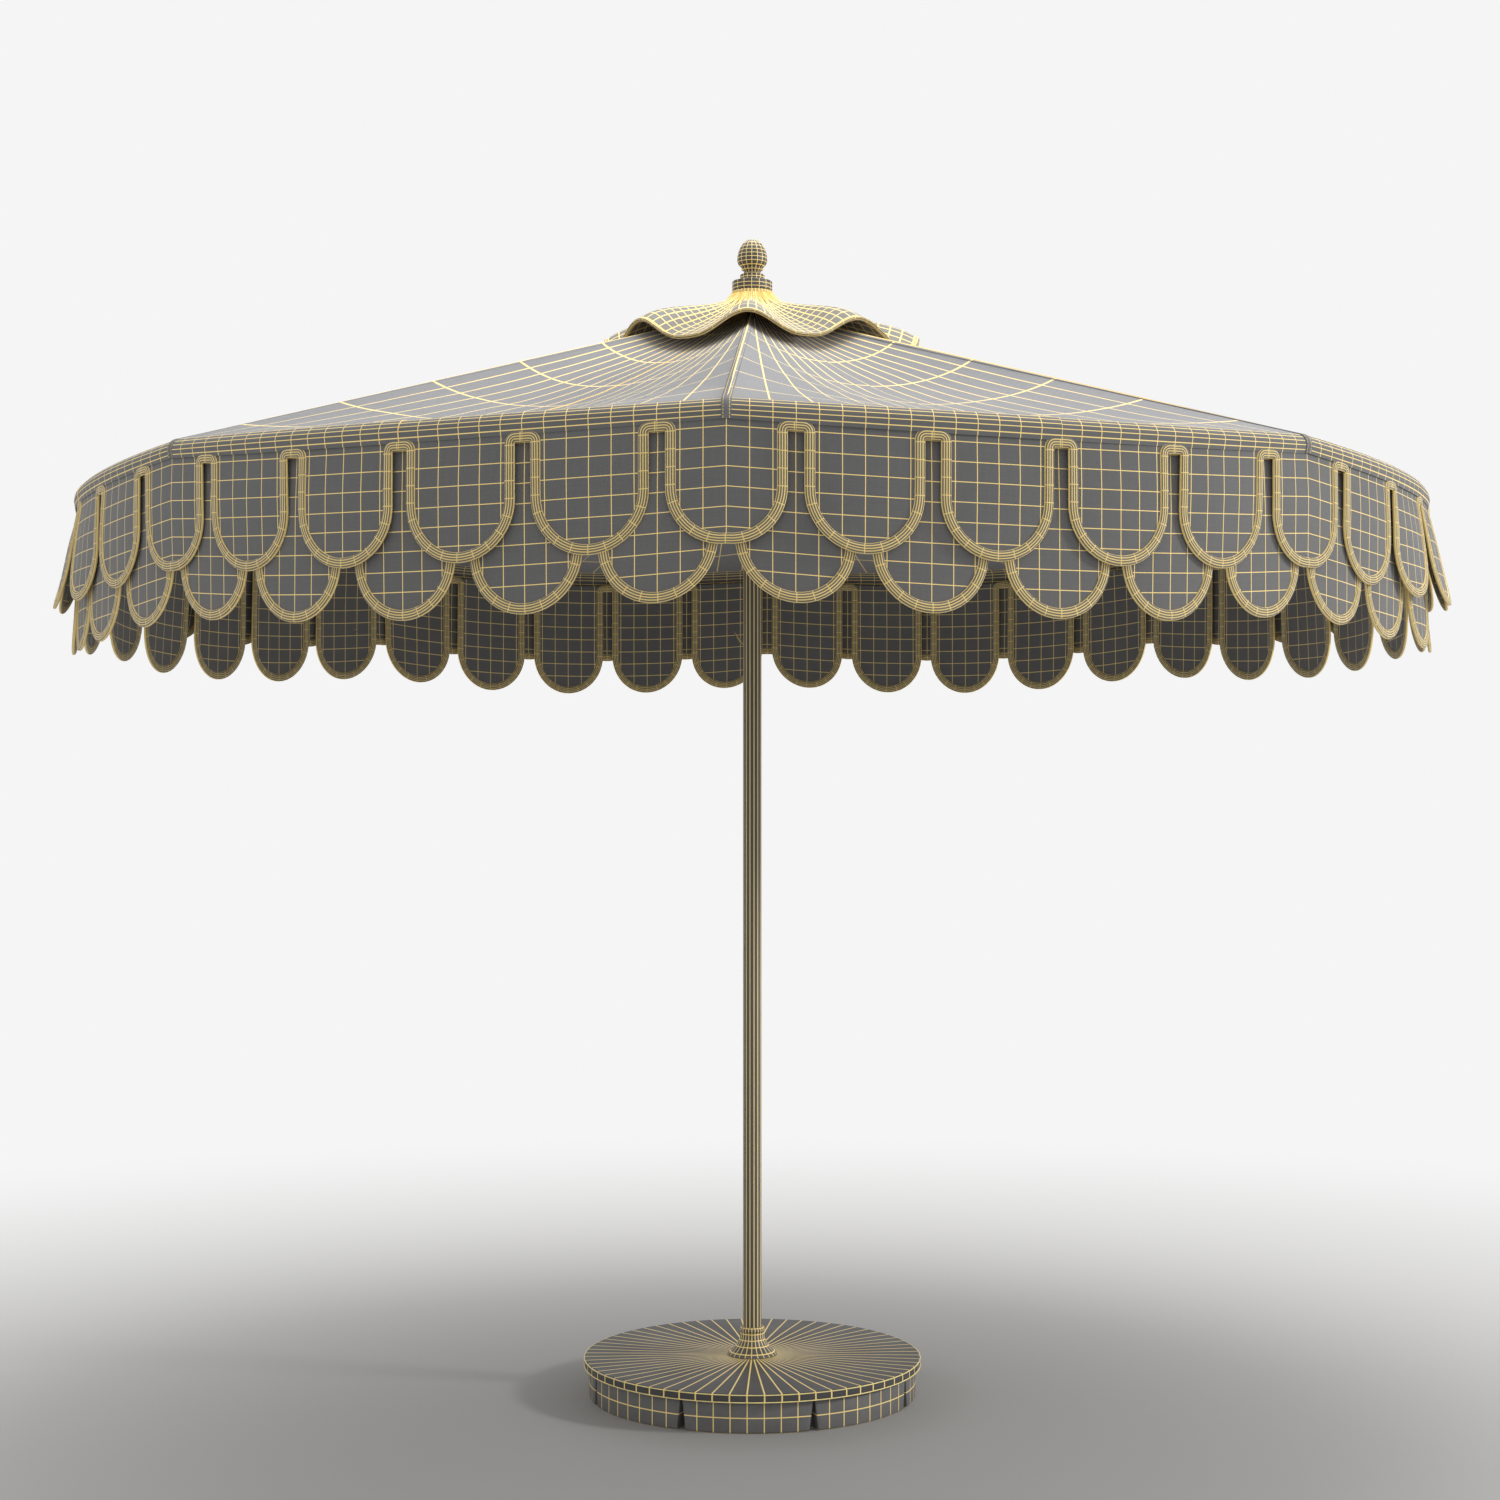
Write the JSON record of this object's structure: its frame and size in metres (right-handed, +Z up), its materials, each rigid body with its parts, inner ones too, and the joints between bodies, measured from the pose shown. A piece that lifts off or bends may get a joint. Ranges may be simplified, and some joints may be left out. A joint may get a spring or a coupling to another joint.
{
  "type": "garden parasol",
  "caption": "Round free-standing parasol with a sagging ribbed canopy, two-layer scalloped valance, wavy vent cap, egg finial, slim mast and weighted disc base.",
  "frame": {"origin": "middle of the base's flat underside, on the floor", "axes": "+Z up the mast; -Y along rib 1, towards the front"},
  "size_m": [3.0804, 3.0804, 2.641],
  "materials": {
    "canopy_cloth": "matte",
    "valance_cloth": "matte",
    "cap_cloth": "matte",
    "gold_binding": "matte",
    "painted_steel": "satin",
    "painted_alloy": "satin",
    "rib_frame": "satin",
    "hub_casting": "satin",
    "base_body": "matte",
    "plated_pins": "polished",
    "knob": "satin"
  },
  "bodies": {
    "base": {"base_weight": "base_body", "base_cover": "painted_steel", "socket_tube": "painted_steel", "mast_collar": "painted_steel"},
    "collar_screw": {"collar_screw": "knob"},
    "mast": {"mast": "painted_steel", "hub": "hub_casting", "hub_pivot_ring": "plated_pins", "cap_neck": "cap_cloth"},
    "finial": {"finial": "painted_alloy"},
    "runner": {"runner": "hub_casting"},
    "runner_knob": {"runner_knob": "knob"},
    "rib_1": {"rib_1": "rib_frame", "rivet_1": "plated_pins", "canopy_1": "canopy_cloth", "cap_1": "cap_cloth"},
    "valance_1": {"valance_1": "valance_cloth"},
    "stretcher_1": {"stretcher_1": "rib_frame"},
    "rib_2": {"rib_2": "rib_frame", "rivet_2": "plated_pins", "canopy_2": "canopy_cloth", "cap_2": "cap_cloth"},
    "valance_2": {"valance_2": "valance_cloth"},
    "stretcher_2": {"stretcher_2": "rib_frame"},
    "rib_3": {"rib_3": "rib_frame", "rivet_3": "plated_pins", "canopy_3": "canopy_cloth", "cap_3": "cap_cloth"},
    "valance_3": {"valance_3": "valance_cloth"},
    "stretcher_3": {"stretcher_3": "rib_frame"},
    "rib_4": {"rib_4": "rib_frame", "rivet_4": "plated_pins", "canopy_4": "canopy_cloth", "cap_4": "cap_cloth"},
    "valance_4": {"valance_4": "valance_cloth"},
    "stretcher_4": {"stretcher_4": "rib_frame"},
    "rib_5": {"rib_5": "rib_frame", "rivet_5": "plated_pins", "canopy_5": "canopy_cloth", "cap_5": "cap_cloth"},
    "valance_5": {"valance_5": "valance_cloth"},
    "stretcher_5": {"stretcher_5": "rib_frame"},
    "rib_6": {"rib_6": "rib_frame", "rivet_6": "plated_pins", "canopy_6": "canopy_cloth", "cap_6": "cap_cloth"},
    "valance_6": {"valance_6": "valance_cloth"},
    "stretcher_6": {"stretcher_6": "rib_frame"},
    "rib_7": {"rib_7": "rib_frame", "rivet_7": "plated_pins", "canopy_7": "canopy_cloth", "cap_7": "cap_cloth"},
    "valance_7": {"valance_7": "valance_cloth"},
    "stretcher_7": {"stretcher_7": "rib_frame"},
    "rib_8": {"rib_8": "rib_frame", "rivet_8": "plated_pins", "canopy_8": "canopy_cloth", "cap_8": "cap_cloth"},
    "valance_8": {"valance_8": "valance_cloth"},
    "stretcher_8": {"stretcher_8": "rib_frame"}
  },
  "joints": [
    {"name": "mast_turn", "type": "hinge", "parent": "base", "child": "mast", "pos_m": [0, 0, 0.12], "axis": [0, 0, 1], "continuous": true},
    {"name": "collar_screw_turn", "type": "hinge", "parent": "base", "child": "collar_screw", "pos_m": [0, 0.047, 0.12], "axis": [0, 1, 0], "range_deg": [0, 270]},
    {"name": "finial_turn", "type": "hinge", "parent": "mast", "child": "finial", "pos_m": [0, 0, 2.53], "axis": [0, 0, 1], "continuous": true},
    {"name": "rib_1_fold", "type": "hinge", "parent": "mast", "child": "rib_1", "pos_m": [0, -0.045, 2.44633], "axis": [1, 0, 0], "range_deg": [0, 68], "deforming": ["canopy_1", "cap_1"]},
    {"name": "rib_2_fold", "type": "hinge", "parent": "mast", "child": "rib_2", "pos_m": [0.03182, -0.03182, 2.44633], "axis": [0.7071, 0.7071, 0], "range_deg": [0, 68], "deforming": ["canopy_2", "cap_2"]},
    {"name": "rib_3_fold", "type": "hinge", "parent": "mast", "child": "rib_3", "pos_m": [0.045, 0, 2.44633], "axis": [0, 1, 0], "range_deg": [0, 68], "deforming": ["canopy_3", "cap_3"]},
    {"name": "rib_4_fold", "type": "hinge", "parent": "mast", "child": "rib_4", "pos_m": [0.03182, 0.03182, 2.44633], "axis": [-0.7071, 0.7071, 0], "range_deg": [0, 68], "deforming": ["canopy_4", "cap_4"]},
    {"name": "rib_5_fold", "type": "hinge", "parent": "mast", "child": "rib_5", "pos_m": [0, 0.045, 2.44633], "axis": [-1, 0, 0], "range_deg": [0, 68], "deforming": ["canopy_5", "cap_5"]},
    {"name": "rib_6_fold", "type": "hinge", "parent": "mast", "child": "rib_6", "pos_m": [-0.03182, 0.03182, 2.44633], "axis": [-0.7071, -0.7071, 0], "range_deg": [0, 68], "deforming": ["canopy_6", "cap_6"]},
    {"name": "rib_7_fold", "type": "hinge", "parent": "mast", "child": "rib_7", "pos_m": [-0.045, 0, 2.44633], "axis": [0, -1, 0], "range_deg": [0, 68], "deforming": ["canopy_7", "cap_7"]},
    {"name": "rib_8_fold", "type": "hinge", "parent": "mast", "child": "rib_8", "pos_m": [-0.03182, -0.03182, 2.44633], "axis": [0.7071, -0.7071, 0], "range_deg": [0, 68], "deforming": ["canopy_8", "cap_8"]},
    {"name": "stretcher_1_swing", "type": "hinge", "parent": "rib_1", "child": "stretcher_1", "pos_m": [0, -0.63775, 2.26455], "axis": [-1, 0, 0], "range_deg": [0, 136]},
    {"name": "stretcher_2_swing", "type": "hinge", "parent": "rib_2", "child": "stretcher_2", "pos_m": [0.45096, -0.45096, 2.26455], "axis": [-0.7071, -0.7071, 0], "range_deg": [0, 136]},
    {"name": "stretcher_3_swing", "type": "hinge", "parent": "rib_3", "child": "stretcher_3", "pos_m": [0.63775, 0, 2.26455], "axis": [0, -1, 0], "range_deg": [0, 136]},
    {"name": "stretcher_4_swing", "type": "hinge", "parent": "rib_4", "child": "stretcher_4", "pos_m": [0.45096, 0.45096, 2.26455], "axis": [0.7071, -0.7071, 0], "range_deg": [0, 136]},
    {"name": "stretcher_5_swing", "type": "hinge", "parent": "rib_5", "child": "stretcher_5", "pos_m": [0, 0.63775, 2.26455], "axis": [1, 0, 0], "range_deg": [0, 136]},
    {"name": "stretcher_6_swing", "type": "hinge", "parent": "rib_6", "child": "stretcher_6", "pos_m": [-0.45096, 0.45096, 2.26455], "axis": [0.7071, 0.7071, 0], "range_deg": [0, 136]},
    {"name": "stretcher_7_swing", "type": "hinge", "parent": "rib_7", "child": "stretcher_7", "pos_m": [-0.63775, 0, 2.26455], "axis": [0, 1, 0], "range_deg": [0, 136]},
    {"name": "stretcher_8_swing", "type": "hinge", "parent": "rib_8", "child": "stretcher_8", "pos_m": [-0.45096, -0.45096, 2.26455], "axis": [-0.7071, 0.7071, 0], "range_deg": [0, 136]},
    {"name": "valance_1_hang", "type": "hinge", "parent": "rib_1", "child": "valance_1", "pos_m": [0, -1.49, 1.986], "axis": [-1, 0, 0], "range_deg": [0, 68], "deforming": ["valance_1"]},
    {"name": "valance_2_hang", "type": "hinge", "parent": "rib_2", "child": "valance_2", "pos_m": [1.05359, -1.05359, 1.986], "axis": [-0.7071, -0.7071, 0], "range_deg": [0, 68], "deforming": ["valance_2"]},
    {"name": "valance_3_hang", "type": "hinge", "parent": "rib_3", "child": "valance_3", "pos_m": [1.49, 0, 1.986], "axis": [0, -1, 0], "range_deg": [0, 68], "deforming": ["valance_3"]},
    {"name": "valance_4_hang", "type": "hinge", "parent": "rib_4", "child": "valance_4", "pos_m": [1.05359, 1.05359, 1.986], "axis": [0.7071, -0.7071, 0], "range_deg": [0, 68], "deforming": ["valance_4"]},
    {"name": "valance_5_hang", "type": "hinge", "parent": "rib_5", "child": "valance_5", "pos_m": [0, 1.49, 1.986], "axis": [1, 0, 0], "range_deg": [0, 68], "deforming": ["valance_5"]},
    {"name": "valance_6_hang", "type": "hinge", "parent": "rib_6", "child": "valance_6", "pos_m": [-1.05359, 1.05359, 1.986], "axis": [0.7071, 0.7071, 0], "range_deg": [0, 68], "deforming": ["valance_6"]},
    {"name": "valance_7_hang", "type": "hinge", "parent": "rib_7", "child": "valance_7", "pos_m": [-1.49, 0, 1.986], "axis": [0, 1, 0], "range_deg": [0, 68], "deforming": ["valance_7"]},
    {"name": "valance_8_hang", "type": "hinge", "parent": "rib_8", "child": "valance_8", "pos_m": [-1.05359, -1.05359, 1.986], "axis": [-0.7071, 0.7071, 0], "range_deg": [0, 68], "deforming": ["valance_8"]},
    {"name": "runner_slide", "type": "slide", "parent": "mast", "child": "runner", "axis": [0, 0, -1], "range_m": [0, 0.87183]},
    {"name": "runner_knob_turn", "type": "hinge", "parent": "runner", "child": "runner_knob", "pos_m": [-0.02602, 0.06282, 2.04677], "axis": [-0.3827, 0.9239, 0], "range_deg": [0, 270]}
  ],
  "couplings": [
    {"joint": "rib_2_fold", "follows": "rib_1_fold", "ratio": 1},
    {"joint": "rib_3_fold", "follows": "rib_1_fold", "ratio": 1},
    {"joint": "rib_4_fold", "follows": "rib_1_fold", "ratio": 1},
    {"joint": "rib_5_fold", "follows": "rib_1_fold", "ratio": 1},
    {"joint": "rib_6_fold", "follows": "rib_1_fold", "ratio": 1},
    {"joint": "rib_7_fold", "follows": "rib_1_fold", "ratio": 1},
    {"joint": "rib_8_fold", "follows": "rib_1_fold", "ratio": 1},
    {"joint": "stretcher_1_swing", "follows": "rib_1_fold", "ratio": 2},
    {"joint": "stretcher_2_swing", "follows": "rib_1_fold", "ratio": 2},
    {"joint": "stretcher_3_swing", "follows": "rib_1_fold", "ratio": 2},
    {"joint": "stretcher_4_swing", "follows": "rib_1_fold", "ratio": 2},
    {"joint": "stretcher_5_swing", "follows": "rib_1_fold", "ratio": 2},
    {"joint": "stretcher_6_swing", "follows": "rib_1_fold", "ratio": 2},
    {"joint": "stretcher_7_swing", "follows": "rib_1_fold", "ratio": 2},
    {"joint": "stretcher_8_swing", "follows": "rib_1_fold", "ratio": 2},
    {"joint": "valance_1_hang", "follows": "rib_1_fold", "ratio": 1},
    {"joint": "valance_2_hang", "follows": "rib_1_fold", "ratio": 1},
    {"joint": "valance_3_hang", "follows": "rib_1_fold", "ratio": 1},
    {"joint": "valance_4_hang", "follows": "rib_1_fold", "ratio": 1},
    {"joint": "valance_5_hang", "follows": "rib_1_fold", "ratio": 1},
    {"joint": "valance_6_hang", "follows": "rib_1_fold", "ratio": 1},
    {"joint": "valance_7_hang", "follows": "rib_1_fold", "ratio": 1},
    {"joint": "valance_8_hang", "follows": "rib_1_fold", "ratio": 1},
    {"joint": "runner_slide", "follows": "rib_1_fold", "m_per_rad": 0.73458}
  ]
}
